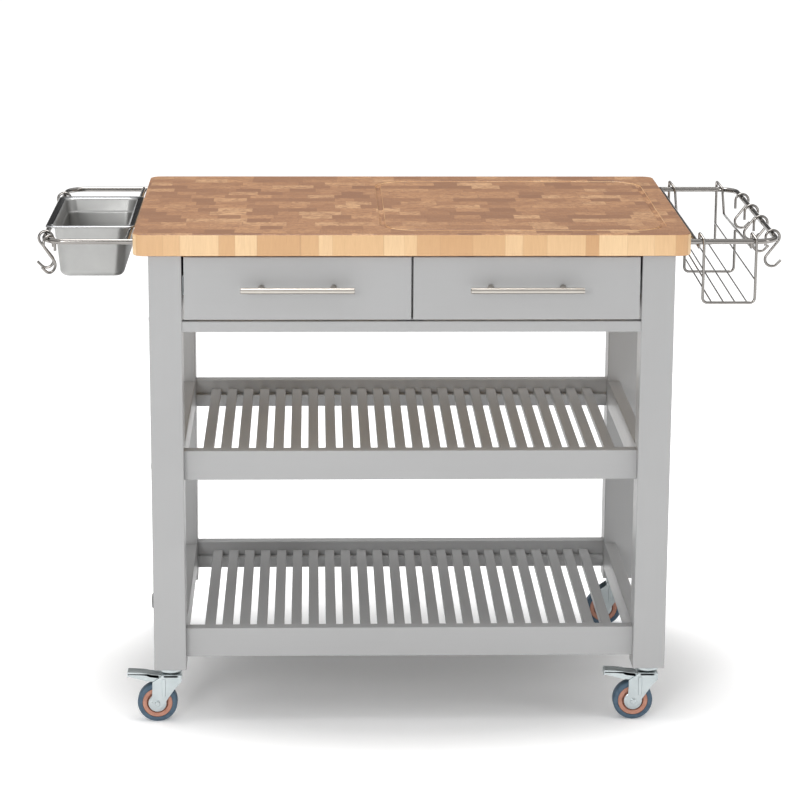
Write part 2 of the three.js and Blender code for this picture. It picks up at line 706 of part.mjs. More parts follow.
// Two side plates under a crown, with the axle and its dust covers.
function casterFork() {
  const { crown, plate, inner, halfLength, shoulder, boss, bossStart, bossEnd } = FORK;
  const shoulderZ = crown - shoulder;
  const outline = new THREE.Shape();
  outline.moveTo(halfLength, crown);
  outline.lineTo(halfLength, shoulderZ);
  outline.lineTo(-TRAIL + boss * Math.cos(bossStart), WHEEL_RADIUS + boss * Math.sin(bossStart));
  outline.absarc(-TRAIL, WHEEL_RADIUS, boss, bossStart, bossEnd, true);
  outline.lineTo(-TRAIL - FORK.rearLean, shoulderZ);
  outline.lineTo(-halfLength, crown);
  const across = (shape, from, to) => {
    const settings = { depth: to - from, bevelEnabled: false, curveSegments: 4 };
    const geometry = new THREE.ExtrudeGeometry(shape, settings);
    return geometry.rotateX(Math.PI / 2).translate(0, to, 0);
  };
  const inside = [-inner - OVERLAP, inner + OVERLAP];
  const axleEnd = inner + plate + AXLE.proud;
  const axle = [-TRAIL, WHEEL_RADIUS];
  const pieces = [
    across(outline, inner, inner + plate),
    across(outline, -inner - plate, -inner),
    box([FORK.crownBack, halfLength - OVERLAP], inside, [crown - plate, crown]),
    box([halfLength - plate, halfLength], inside, [shoulderZ, crown]),
    round('y', AXLE.radius, -axleEnd, axleEnd, axle, 6),
  ];
  for (const sy of [-1, 1]) {
    const cover = sorted(sy * (WHEEL_WIDTH / 2 + AXLE.coverGap), sy * (inner + OVERLAP / 2));
    pieces.push(round('y', AXLE.cover, cover[0], cover[1], axle, 14));
    const head = sorted(sy * (inner + plate - OVERLAP / 2), sy * axleEnd);
    pieces.push(round('y', AXLE.head, head[0], head[1], axle, 6));
  }
  return joined(pieces);
}

function wheelCore() {
  const half = WHEEL_WIDTH / 2;
  const { bore, hub, web, rim, step } = CORE;
  const outer = TYRE_INNER - GAP;
  return turned([
    [bore, -half],
    [hub, -half],
    [hub, -web],
    [outer - rim, -web],
    [outer - rim, -half + step],
    [outer, -half + step],
    [outer, half - step],
    [outer - rim, half - step],
    [outer - rim, web],
    [hub, web],
    [hub, half],
    [bore, half],
    [bore, -half],
  ], 16, 'y').translate(-TRAIL, 0, WHEEL_RADIUS);
}

function tyre() {
  const half = WHEEL_WIDTH / 2;
  const { across, deep } = TREAD_ROUND;
  return turned([
    [TYRE_INNER, -half],
    [WHEEL_RADIUS - deep, -half],
    [WHEEL_RADIUS, -half + across],
    [WHEEL_RADIUS, half - across],
    [WHEEL_RADIUS - deep, half],
    [TYRE_INNER, half],
    [TYRE_INNER, -half],
  ], 24, 'y').translate(-TRAIL, 0, WHEEL_RADIUS);
}

// A pressed lever on a pin between the fork plates, pushed down with the foot to jam the tyre.
function brakePedal() {
  const { pivotX, pivotZ, kneeX, padX, padZ, tip, lipZ, width, thickness, half } = PEDAL;
  const tipZ = padZ + PEDAL.tipRise;
  const outline = new THREE.Shape();
  outline.moveTo(pivotX, pivotZ - half);
  outline.lineTo(kneeX, pivotZ - half / 3);
  outline.lineTo(padX, padZ);
  outline.lineTo(tip + thickness, tipZ);
  outline.lineTo(tip + thickness, lipZ);
  outline.lineTo(tip, lipZ);
  outline.lineTo(tip, tipZ + thickness);
  outline.lineTo(padX, padZ + thickness);
  outline.lineTo(kneeX, pivotZ + thickness);
  outline.lineTo(pivotX, pivotZ + half);
  const lever = new THREE.ExtrudeGeometry(outline, { depth: width, bevelEnabled: false });
  lever.rotateX(Math.PI / 2).translate(0, width / 2, 0);
  const pin = round('y', PEDAL.pin, -width / 2, width / 2, [pivotX, pivotZ], 10);
  return joined([lever, pin]);
}

for (const [corner, [sx, sy]] of Object.entries(CORNERS)) {
  const caster = new THREE.Group();
  caster.position.set(sx * LEG_X, sy * LEG_Y, 0);
  cart.add(caster);
  add(caster, `caster_stem_${corner}`, casterStem(), ZINC);
  add(caster, `caster_fork_${corner}`, casterFork(), ZINC);
  add(caster, `wheel_core_${corner}`, wheelCore(), CORE_PLASTIC);
  add(caster, `tyre_${corner}`, tyre(), TYRE_RUBBER);
  if (sy < 0) add(caster, `brake_pedal_${corner}`, brakePedal(), ZINC);
}

export default cart;
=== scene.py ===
"""Kitchen island cart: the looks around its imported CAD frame. Metres, +Z up, drawers facing -Y."""
import json
import math

import bmesh
import bpy
from mathutils import Matrix, Vector


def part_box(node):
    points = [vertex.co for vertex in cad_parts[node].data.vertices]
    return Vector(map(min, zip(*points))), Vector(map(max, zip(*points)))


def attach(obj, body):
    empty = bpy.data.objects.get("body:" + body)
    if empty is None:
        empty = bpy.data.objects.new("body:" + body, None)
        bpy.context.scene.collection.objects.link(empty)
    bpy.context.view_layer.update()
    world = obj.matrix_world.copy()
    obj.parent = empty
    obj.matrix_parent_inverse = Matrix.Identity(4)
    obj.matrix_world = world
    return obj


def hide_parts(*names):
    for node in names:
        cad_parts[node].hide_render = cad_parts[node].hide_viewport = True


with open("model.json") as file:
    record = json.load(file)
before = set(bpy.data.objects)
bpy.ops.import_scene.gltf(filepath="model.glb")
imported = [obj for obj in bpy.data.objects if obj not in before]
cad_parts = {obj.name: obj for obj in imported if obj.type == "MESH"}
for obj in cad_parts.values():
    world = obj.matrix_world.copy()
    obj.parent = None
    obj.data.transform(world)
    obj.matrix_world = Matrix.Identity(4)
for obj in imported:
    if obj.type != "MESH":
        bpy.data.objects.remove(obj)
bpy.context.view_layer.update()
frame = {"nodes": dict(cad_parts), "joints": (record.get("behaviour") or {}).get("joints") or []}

MM = 0.001
QUARTER_TURN = math.pi / 2
BAR_RADIUS = 5 * MM
BAR_CORNER = 40 * MM
CROSSBAR_RADIUS = 4.5 * MM
CROSSBAR_X = 520 * MM
BASKET_WIRE = 2.6 * MM
BASKET_THIN = 1.5 * MM
BASKET_BEND = 9 * MM
BASKET_HOOK_BEND = 1.8 * MM
BASKET_TURN = -0.0102  # radians that it hangs out of square with the bar
HOOK_WIRE = 2.55 * MM
HOOK_LOOP = 12.9 * MM
HOOK_CENTRES = 42 * MM
HOOK_TAIL = 16 * MM
HOOK_LIP = 10.8 * MM
HOOK_LIP_ANGLE = 1.75 * math.pi
BLOCK_ROW = 0.037
BLOCK_LENGTH = 0.056
STAVE_WIDTH = 0.047
CORNERS = ("front_left", "front_right", "back_left", "back_right")
JOINTS = {joint["name"]: joint for joint in frame["joints"]}


# ---------------------------------------------------------------- node materials
class Shader:
    """A principled material whose nodes are added one call at a time."""

    def __init__(self, name, roughness, metallic=0.0, coat=0.0):
        self.material = bpy.data.materials.new(name)
        self.material.use_nodes = True
        self.tree = self.material.node_tree
        self.surface = self.tree.nodes["Principled BSDF"]
        self.surface.inputs["Roughness"].default_value = roughness
        self.surface.inputs["Metallic"].default_value = metallic
        self.surface.inputs["Coat Weight"].default_value = coat
        self.place = self.node("ShaderNodeTexCoord").outputs["Object"]

    def node(self, kind, **settings):
        made = self.tree.nodes.new(kind)
        for key, value in settings.items():
            setattr(made, key, value)
        return made

    def feed(self, socket, value):
        if isinstance(value, bpy.types.NodeSocket):
            self.tree.links.new(value, socket)
        else:
            socket.default_value = value

    def maths(self, operation, first, second=0.0, third=0.0):
        made = self.node("ShaderNodeMath", operation=operation)
        for socket, value in zip(made.inputs, (first, second, third)):
            self.feed(socket, value)
        return made.outputs[0]

    def split(self, vector):
        made = self.node("ShaderNodeSeparateXYZ")
        self.feed(made.inputs[0], vector)
        return made.outputs

    def vector(self, x, y, z):
        made = self.node("ShaderNodeCombineXYZ")
        for socket, value in zip(made.inputs, (x, y, z)):
            self.feed(socket, value)
        return made.outputs[0]

    def scaled(self, scale, vector=None):
        made = self.node("ShaderNodeVectorMath", operation="MULTIPLY")
        self.feed(made.inputs[0], vector or self.place)
        made.inputs[1].default_value = scale
        return made.outputs[0]

    def noise(self, vector, scale, detail=3.0, distortion=0.0):
        made = self.node("ShaderNodeTexNoise")
        self.feed(made.inputs["Vector"], vector)
        made.inputs["Scale"].default_value = scale
        made.inputs["Detail"].default_value = detail
        made.inputs["Distortion"].default_value = distortion
        return made.outputs["Fac"]

    def random(self, vector):
        made = self.node("ShaderNodeTexWhiteNoise", noise_dimensions="3D")
        self.feed(made.inputs["Vector"], vector)
        return made.outputs["Value"]

    def ramp(self, factor, *stops):
        made = self.node("ShaderNodeValToRGB")
        elements = made.color_ramp.elements
        for _ in range(len(stops) - 2):
            elements.new(0.5)
        for element, (position, colour) in zip(elements, stops):
            element.position = position
            element.color = (*colour, 1.0)
        self.feed(made.inputs[0], factor)
        return made.outputs[0]

    def mixed(self, factor, first, second, blend="MIX"):
        made = self.node("ShaderNodeMix", data_type="RGBA", blend_type=blend)
        for socket, value in zip((made.inputs[0], made.inputs[6], made.inputs[7]), (factor, first, second)):
            self.feed(socket, value)
        return made.outputs[2]

    def between(self, factor, low, high):
        made = self.node("ShaderNodeMapRange")
        self.feed(made.inputs[0], factor)
        made.inputs[3].default_value = low
        made.inputs[4].default_value = high
        return made.outputs[0]

    def bump(self, height, strength, distance):
        made = self.node("ShaderNodeBump")
        made.inputs["Strength"].default_value = strength
        made.inputs["Distance"].default_value = distance
        self.feed(made.inputs["Height"], height)
        self.feed(self.surface.inputs["Normal"], made.outputs[0])

    def colour(self, value):
        self.feed(self.surface.inputs["Base Color"], value)

    def roughness(self, value):
        self.feed(self.surface.inputs["Roughness"], value)


def butcher_block():
    """End-grain blocks in staggered rows on top, upright staves round the edge."""
    shader = Shader("butcher_block", 0.42, coat=0.08)
    x, y, z = shader.split(shader.place)
    normal = shader.split(shader.node("ShaderNodeTexCoord").outputs["Normal"])
    row_share = shader.maths("DIVIDE", y, BLOCK_ROW)
    row = shader.maths("FLOOR", row_share)
    shift = shader.random(shader.vector(row, 3.0, 0.0))
    wander = shader.maths("MULTIPLY", shader.noise(shader.vector(x, row, 0.0), 7.0, 1.0), 0.14)
    along = shader.maths("ADD", shader.maths("ADD", x, wander), shift)
    run = shader.maths("DIVIDE", along, BLOCK_LENGTH)
    block = shader.maths("FLOOR", run)
    tone = shader.random(shader.vector(block, row, 1.0))
    turn = shader.random(shader.vector(block, row, 5.0))
    ring_place = shader.vector(
        shader.maths("ADD", x, shader.maths("MULTIPLY", turn, 0.6)),
        shader.maths("ADD", y, shader.maths("MULTIPLY", tone, 0.6)),
        0.0,
    )
    rings = shader.node("ShaderNodeTexWave", wave_type="RINGS", rings_direction="Z")
    shader.feed(rings.inputs["Vector"], ring_place)
    rings.inputs["Scale"].default_value = 52.0
    rings.inputs["Distortion"].default_value = 2.2
    rings.inputs["Detail"].default_value = 2.0
    pores = shader.noise(shader.place, 900.0, 2.0)
    top = shader.ramp(
        tone,
        (0.0, (0.210, 0.095, 0.042)),
        (0.3, (0.370, 0.182, 0.082)),
        (0.7, (0.520, 0.275, 0.126)),
        (1.0, (0.680, 0.410, 0.208)),
    )
    top = shader.mixed(shader.between(rings.outputs["Fac"], 0.0, 0.32), top, (0.22, 0.095, 0.042, 1.0))
    smoke = shader.noise(shader.scaled((1.0, 2.6, 1.0)), 9.0, 5.0, 0.8)
    smoke_share = shader.ramp(smoke, (0.45, (0, 0, 0)), (0.8, (0.5, 0.5, 0.5)))
    top = shader.mixed(smoke_share, top, (0.20, 0.085, 0.040, 1.0))
    streaks = shader.noise(shader.scaled((1.0, 2.4, 1.0), ring_place), 62.0, 6.0, 1.4)
    streak_share = shader.ramp(streaks, (0.44, (0, 0, 0)), (0.60, (0.8, 0.8, 0.8)))
    top = shader.mixed(streak_share, top, (0.23, 0.100, 0.044, 1.0))
    top = shader.mixed(shader.between(pores, 0.0, 0.30), top, (0.36, 0.175, 0.085, 1.0))

    def seam(share, width):
        """1 on the glue line at either end of a repeated cell, 0 elsewhere."""
        edge = shader.maths("PINGPONG", share, 0.5)
        return shader.maths("LESS_THAN", edge, width)

    seams = shader.maths("MAXIMUM", seam(run, 0.007), seam(row_share, 0.013))
    top = shader.mixed(shader.maths("MULTIPLY", seams, 0.42), top, (0.20, 0.090, 0.045, 1.0))

    end_face = shader.maths("GREATER_THAN", shader.maths("ABSOLUTE", normal[0]), 0.7)
    edge_run = shader.node("ShaderNodeMix", data_type="FLOAT")
    for socket, value in zip((edge_run.inputs[0], edge_run.inputs[2], edge_run.inputs[3]), (end_face, x, y)):
        shader.feed(socket, value)
    across = edge_run.outputs[0]
    drift = shader.maths("MULTIPLY", shader.noise(shader.vector(across, 2.0, 0.0), 9.0, 1.0), 0.16)
    stave = shader.maths("DIVIDE", shader.maths("ADD", across, drift), STAVE_WIDTH)
    stave_tone = shader.random(shader.vector(shader.maths("FLOOR", stave), 8.0, 2.0))
    grain_place = shader.vector(across, stave_tone, shader.maths("MULTIPLY", z, 0.09))
    grain = shader.noise(grain_place, 330.0, 5.0, 0.8)
    edge = shader.ramp(
        stave_tone,
        (0.0, (0.58, 0.330, 0.155)),
        (0.5, (0.73, 0.475, 0.245)),
        (1.0, (0.86, 0.630, 0.365)),
    )
    edge = shader.mixed(shader.between(grain, 0.0, 0.42), edge, (0.42, 0.215, 0.100, 1.0))
    stave_seam = shader.maths("MULTIPLY", seam(stave, 0.010), 0.22)
    edge = shader.mixed(stave_seam, edge, (0.25, 0.12, 0.06, 1.0))

    upward = shader.maths("GREATER_THAN", shader.maths("ABSOLUTE", normal[2]), 0.6)
    shader.colour(shader.mixed(upward, edge, top))
    shader.roughness(shader.between(shader.noise(shader.place, 60.0), 0.36, 0.52))
    shader.bump(shader.maths("SUBTRACT", pores, seams), 0.25, 0.0002)
    return shader.material


def painted(name, axis):
    """Satin paint over timber whose grain runs along one axis (0, 1 or 2)."""
    shader = Shader(name, 0.42, coat=0.05)
    stretch = [1.0, 1.0, 1.0]
    stretch[axis] = 0.05
    grain = shader.noise(shader.scaled(stretch), 190.0, 4.0, 0.4)
    clouds = shader.noise(shader.place, 3.5, 3.0)
    spray = shader.noise(shader.place, 1400.0, 2.0)
    base = shader.mixed(clouds, (0.360, 0.361, 0.362, 1.0), (0.398, 0.399, 0.400, 1.0))
    shader.colour(shader.mixed(shader.between(grain, 0.0, 0.10), base, (0.30, 0.301, 0.303, 1.0)))
    shader.roughness(shader.between(grain, 0.36, 0.50))
    shader.bump(shader.maths("ADD", grain, shader.maths("MULTIPLY", spray, 0.3)), 0.12, 0.00025)
    return shader.material


def lacquered_birch():
    """Pale ply with its grain along Y, for the drawer boxes."""
    shader = Shader("birch_ply", 0.5, coat=0.1)
    grain = shader.noise(shader.scaled((1.0, 0.06, 1.0)), 120.0, 5.0, 1.1)
    flecks = shader.noise(shader.scaled((1.0, 0.2, 1.0)), 700.0, 1.0)
    base = shader.ramp(
        grain,
        (0.30, (0.60, 0.42, 0.24)),
        (0.55, (0.72, 0.55, 0.35)),
        (0.75, (0.78, 0.63, 0.43)),
    )
    shader.colour(shader.mixed(shader.between(flecks, 0.0, 0.18), base, (0.5, 0.33, 0.18, 1.0)))
    shader.roughness(shader.between(grain, 0.42, 0.58))
    shader.bump(grain, 0.15, 0.0003)
    return shader.material


def metal(name, dark, light, smooth, dull, stretch, scale, strength):
    """Bright metal with drawing or brushing marks stretched along one direction."""
    shader = Shader(name, smooth, metallic=1.0)
    marks = shader.noise(shader.scaled(stretch), scale, 4.0)
    patches = shader.noise(shader.place, 35.0, 2.0)
    shader.colour(shader.mixed(patches, (*dark, 1.0), (*light, 1.0)))
    shader.roughness(shader.between(marks, smooth, dull))
    shader.bump(marks, strength, 0.0001)
    return shader.material


def pan_steel(rim_height):
    """Satin pressed steel with a polished rim, whose lighter colour is a painted highlight."""
    shader = Shader("stainless_sheet", 0.3, metallic=1.0)
    marks = shader.noise(shader.scaled((1.0, 0.05, 0.5)), 220.0, 4.0)
    patches = shader.noise(shader.place, 35.0, 2.0)
    rim = shader.maths("GREATER_THAN", shader.split(shader.place)[2], rim_height)
    walls = shader.mixed(patches, (0.34, 0.34, 0.335, 1.0), (0.40, 0.40, 0.39, 1.0))
    # painted highlight: the rim strip takes a lighter base colour than the walls, as well as a smoother
    # polish
    shader.colour(shader.mixed(rim, walls, (0.44, 0.445, 0.46, 1.0)))
    satin = shader.between(marks, 0.34, 0.44)
    shader.roughness(shader.mixed(rim, satin, (0.1, 0.1, 0.1, 1.0)))
    shader.bump(marks, 0.006, 0.0001)
    return shader.material


def rubber():
    """Dark blue-grey tyre rubber with a little dust."""
    shader = Shader("tyre_rubber", 0.6)
    dust = shader.noise(shader.place, 120.0, 4.0)
    fine = shader.noise(shader.place, 1500.0, 2.0)
    shader.colour(shader.ramp(dust, (0.3, (0.045, 0.082, 0.125)), (0.7, (0.075, 0.125, 0.175))))
    shader.roughness(shader.between(dust, 0.5, 0.72))
    shader.bump(fine, 0.2, 0.0002)
    return shader.material


def moulded(name, dark, light, smooth):
    """Moulded plastic with faint swirls and a fine skin."""
    shader = Shader(name, smooth)
    swirl = shader.noise(shader.place, 70.0, 3.0, 1.0)
    skin = shader.noise(shader.place, 1800.0, 1.0)
    shader.colour(shader.ramp(swirl, (0.3, dark), (0.7, light)))
    shader.roughness(shader.between(skin, smooth, smooth + 0.15))
    shader.bump(skin, 0.15, 0.0001)
    return shader.material


BLOCK = butcher_block()
PAINT = [painted(f"grey_paint_{letter}", axis) for axis, letter in enumerate("xyz")]
BIRCH = lacquered_birch()
WIRE = metal(
    "stainless_wire", (0.25, 0.237, 0.224), (0.32, 0.304, 0.288),
    smooth=0.13, dull=0.19, stretch=(1, 1, 1), scale=160.0, strength=0.003,
)
SHEET = pan_steel(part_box("pan")[1].z - 1.2 * MM)
NICKEL = metal(
    "brushed_nickel", (0.47, 0.44, 0.40), (0.54, 0.51, 0.465),
    smooth=0.24, dull=0.36, stretch=(0.05, 1, 1), scale=600.0, strength=0.05,
)
ZINC = metal(
    "zinc_plate", (0.38, 0.425, 0.435), (0.58, 0.625, 0.635),
    smooth=0.22, dull=0.40, stretch=(1, 1, 1), scale=90.0, strength=0.06,
)
TYRE = rubber()
CORE = moulded("core_plastic", (0.42, 0.185, 0.125), (0.52, 0.25, 0.175), 0.45)
BLACK = moulded("black_plastic", (0.020, 0.020, 0.022), (0.045, 0.045, 0.048), 0.4)


def recoat(node, material):
    """A CAD node that stays keeps its mesh and takes a finished material."""
    for slot in frame["nodes"][node].material_slots:
        slot.material = material


def paint_axis(node):
    """The grain of a painted board runs along its longest side."""
    low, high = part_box(node)
    size = high - low
    return max(range(3), key=lambda axis: size[axis])


# ---------------------------------------------------------------- mesh helpers
def place(made, material, body, slot_name, replaced=()):
    """Gives a piece its material and body, and hides the CAD nodes that it stands for; its slot name is not
    used.
    """
    made.data.materials.clear()
    made.data.materials.append(material)
    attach(made, body)
    if replaced:
        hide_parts(*replaced)


def mesh_object(name, builder, smooth_angle=35):
    """A mesh object filled by builder(bmesh), smooth except where its faces meet sharply."""
    data = bpy.data.meshes.new(name)
    work = bmesh.new()
    builder(work)
    bmesh.ops.remove_doubles(work, verts=work.verts, dist=1e-6)
    bmesh.ops.recalc_face_normals(work, faces=work.faces)
    work.to_mesh(data)
    work.free()
    for polygon in data.polygons:
        polygon.use_smooth = True
    data.set_sharp_from_angle(angle=math.radians(smooth_angle))
    made = bpy.data.objects.new(name, data)
    bpy.context.scene.collection.objects.link(made)
    return made


def applied(made):
    """Turns an object's modifiers into its mesh."""
    graph = bpy.context.evaluated_depsgraph_get()
    finished = bpy.data.meshes.new_from_object(made.evaluated_get(graph))
    made.modifiers.clear()
    made.data = finished


def loft(work, rings, close_ends=True, cyclic=False):
    """Skins equal-length rings of points with quads, and returns their rows of vertices."""
    rows = [[work.verts.new(point) for point in ring] for ring in rings]
    count = len(rows[0])
    pairs = list(zip(rows, rows[1:]))
    if cyclic:
        pairs.append((rows[-1], rows[0]))
    for lower, upper in pairs:
        for i in range(count):
            j = (i + 1) % count
            work.faces.new((lower[i], lower[j], upper[j], upper[i]))
    if close_ends and not cyclic:
        work.faces.new(list(reversed(rows[0])))
        work.faces.new(rows[-1])
    return rows


def rounded(half_x, half_y, radius, z, centre=(0, 0), steps=6):
    """Points round a rounded rectangle at height z."""
    points = []
    for quarter, (sx, sy) in enumerate(((1, 1), (-1, 1), (-1, -1), (1, -1))):
        for step in range(steps + 1):
            angle = (quarter + step / steps) * QUARTER_TURN
            x = centre[0] + sx * (half_x - radius) + radius * math.cos(angle)
            y = centre[1] + sy * (half_y - radius) + radius * math.sin(angle)
            points.append(Vector((x, y, z)))
    return points


def turned(work, profile, matrix, segments=40):
    """Turns (radius, height) points about the local Z axis, then places them."""
    def ring(radius, height):
        angles = [2 * math.pi * i / segments for i in range(segments)]
        return [matrix @ Vector((radius * math.cos(a), radius * math.sin(a), height)) for a in angles]

    closed = profile[0] == profile[-1]
    points = profile[:-1] if closed else profile
    loft(work, [ring(*point) for point in points], close_ends=not closed, cyclic=closed)


def about_x(centre, sign=1):
    """Takes the local Z axis to +X or -X at a centre."""
    return Matrix.Translation(centre) @ Matrix.Rotation(sign * QUARTER_TURN, 4, "Y")


def about_y(centre, sign=1):
    """Takes the local Z axis to +Y or -Y at a centre."""
    return Matrix.Translation(centre) @ Matrix.Rotation(-sign * QUARTER_TURN, 4, "X")


def bent(corners, radius, steps=10):
    """A path through corner points with each inner corner rounded to a radius."""
    points = [Vector(corner) for corner in corners]
    path = [points[0]]
    for before, here, after in zip(points, points[1:], points[2:]):
        back = (before - here).normalized()
        on = (after - here).normalized()
        half = back.angle(on) / 2
        centre = here + (back + on).normalized() * radius / math.sin(half)
        reach = radius / math.tan(half)
        start = here + back * reach - centre
        end = here + on * reach - centre
        sweep = start.angle(end)
        for step in range(steps + 1):
            share = step / steps
            first = math.sin((1 - share) * sweep) / math.sin(sweep)
            second = math.sin(share * sweep) / math.sin(sweep)
            path.append(centre + start * first + end * second)
    path.append(points[-1])
    return path


def rods(name, routes, radii, resolution=3):
    """Round rods along routes, each of its own radius, as one curve object."""
    data = bpy.data.curves.new(name, "CURVE")
    data.dimensions = "3D"
    data.bevel_depth = max(radii)
    data.bevel_resolution = resolution
    data.use_fill_caps = True
    for route, radius in zip(routes, radii):
        spline = data.splines.new("POLY")
        spline.points.add(len(route) - 1)
        for point, at in zip(spline.points, route):
            point.co = (*at, 1.0)
            point.radius = radius / max(radii)
        spline.use_smooth = True
    made = bpy.data.objects.new(name, data)
    bpy.context.scene.collection.objects.link(made)
    return made


# ---------------------------------------------------------------- worktop
def worktop():
    """A slab with eased edges and a juice groove round its right part."""
    low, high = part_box("worktop")
    centre = (low + high) / 2
    half_x, half_y = (high.x - low.x) / 2, (high.y - low.y) / 2
    ease, corner = 2.6 * MM, 22 * MM

    def slab(work):
        rings = []
        for step in range(5):
            angle = step / 4 * QUARTER_TURN
            inset, drop = ease * (1 - math.sin(angle)), ease * (1 - math.cos(angle))
            rings.append((inset, low.z + drop))
        rings += [(inset, high.z - (z - low.z)) for inset, z in reversed(rings)]
        loft(work, [rounded(half_x - i, half_y - i, corner - i, z, centre.xy, 10) for i, z in rings])

    def groove(work):
        """A loop of oval section, centred on the top face so that half of it cuts in."""
        left, right = -52 * MM, 467 * MM
        front, back = centre.y - 277 * MM, centre.y + 262 * MM
        bend, half_width, deep = 58 * MM, 6 * MM, 4.5 * MM
        spot = ((left + right) / 2, (front + back) / 2)
        rings = []
        for step in range(16):
            angle = step / 16 * 2 * math.pi
            out, z = half_width * math.cos(angle), high.z + deep * math.sin(angle)
            size = ((right - left) / 2 + out, (back - front) / 2 + out)
            rings.append(rounded(*size, bend + out, z, spot, 14))
        loft(work, rings, cyclic=True)

    made = mesh_object("worktop_slab", slab)
    tool = mesh_object("groove_tool", groove)
    carve = made.modifiers.new("groove", "BOOLEAN")
    carve.operation = "DIFFERENCE"
    carve.solver = "EXACT"
    carve.object = tool
    applied(made)
    bpy.data.objects.remove(tool)
    for face in made.data.polygons:
        if abs(face.normal.z) > 0.99:
            face.use_smooth = False
    place(made, BLOCK, "frame", "butcher_block", ["worktop"])


# ---------------------------------------------------------------- hanging bars, basket, hooks, pan
def hanging_bar(side, sign):
    """A rod looped round one end, with a crossbar between its arms."""
    low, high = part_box(f"hanging_bar_{side}")
    end = high.x if sign < 0 else low.x
    outer = (low.x if sign < 0 else high.x) - sign * BAR_RADIUS
    front = low.y + BAR_RADIUS
    back = high.y - BAR_RADIUS
    height = (low.z + high.z) / 2
    corners = [(end, front, height), (outer, front, height), (outer, back, height), (end, back, height)]
    crossbar = [(sign * CROSSBAR_X, front, height), (sign * CROSSBAR_X, back, height)]
    made = rods(f"bar_{side}", [bent(corners, BAR_CORNER, 14), crossbar], [BAR_RADIUS, CROSSBAR_RADIUS], 5)
    place(made, WIRE, "frame", "stainless_wire", [f"hanging_bar_{side}"])


def basket():
    """Thick U frames and side wires that hook over the bar's arms, with thin wires along them."""
    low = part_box("basket")[0]
    bar_low, bar_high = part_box("hanging_bar_right")
    arms = (bar_low.y + BAR_RADIUS, bar_high.y - BAR_RADIUS)
    bar_x, bar_z = bar_high.x - BAR_RADIUS, (bar_low.z + bar_high.z) / 2
    left, right = bar_x - 138 * MM, bar_x - 42 * MM
    lean_front, lean_back, lean_foot = 7 * MM, 9 * MM, 14 * MM
    clear = BAR_RADIUS + BASKET_WIRE + 1.3 * MM
    over, peak = bar_z + clear, bar_z + clear + 6 * MM
    low_side, middle, floor = bar_z + 4.5 * MM, bar_z - 69 * MM, low.z + BASKET_WIRE
    rim_front, rim_back = bar_z - 13 * MM, bar_z - 49 * MM
    ends = (arms[0] - clear, arms[1] + clear)
    insides = (arms[0] + clear, arms[1] - clear - 4 * MM)
    frames = [(ends[0], bar_z + 4 * MM), (ends[1], over - 3 * MM)]
    frames.append((sum(arms) / 2, (rim_front + rim_back) / 2))
    thick, thin = [], []
    for y, top in frames:
        corners = [(left, y, top), (left, y, floor), (right, y, floor), (right, y, top)]
        thick.append(bent(corners, BASKET_BEND))
    for x, sign in ((left, 1), (right, -1)):
        route = [
            (x, ends[0], over - 8 * MM), (x, ends[0], low_side),
            (x - lean_front, insides[0], peak), (x - lean_front, insides[0], rim_front),
            (x + lean_foot, insides[1], rim_back), (x + lean_back, insides[1], low_side),
            (x, ends[1], peak), (x, ends[1], over - 8 * MM),
        ]
        thick.append(bent(route, BASKET_HOOK_BEND, 3))
        thin.append([Vector((x + sign * BASKET_THIN, end, middle)) for end in ends])
    for share in (0.16, 0.39, 0.61, 0.84):
        x = left + (right - left) * share
        thin.append([Vector((x, end, floor + BASKET_WIRE)) for end in ends])
    pivot = Vector(((left + right) / 2, ends[0], 0))
    turn = Matrix.Translation(pivot) @ Matrix.Rotation(BASKET_TURN, 4, "Z") @ Matrix.Translation(-pivot)
    routes = [[turn @ point for point in route] for route in thick + thin]
    radii = [BASKET_WIRE] * len(thick) + [BASKET_THIN] * len(thin)
    made = rods("wire_basket", routes, radii)
    place(made, WIRE, "basket", "stainless_wire", ["basket"])


def hook(name):
    """An S-hook in the plane across its bar, which its joint's axis runs along."""
    joint = JOINTS[f"{name}_swing"]
    bar = Vector(joint["pos_m"])
    axis = Vector(joint["axis"])
    outward = axis.cross(Vector((0, 0, 1)))
    if outward.x * bar.x < 0:
        outward.negate()
    upper = BAR_RADIUS + 0.3 * MM - (HOOK_LOOP - HOOK_WIRE)
    lower = upper - HOOK_CENTRES
    lean = QUARTER_TURN - math.acos(2 * HOOK_LOOP / HOOK_CENTRES)
    up = Vector((0, 0, 1))

    def at(centre, angle):
        return bar + outward * HOOK_LOOP * math.cos(angle) + up * (centre + HOOK_LOOP * math.sin(angle))

    steps = 20
    route = [bar - outward * HOOK_LOOP + up * (upper - HOOK_TAIL)]
    route += [at(upper, math.pi - i / steps * (math.pi + lean)) for i in range(steps + 1)]
    start = math.pi - lean
    route += [at(lower, start + i / steps * (HOOK_LIP_ANGLE - start)) for i in range(steps + 1)]
    flare = outward * -math.sin(HOOK_LIP_ANGLE) + up * math.cos(HOOK_LIP_ANGLE)
    route.append(route[-1] + flare * HOOK_LIP)
    made = rods(f"wire_{name}", [route], [HOOK_WIRE], 4)
    place(made, WIRE, name, "stainless_wire", [name])


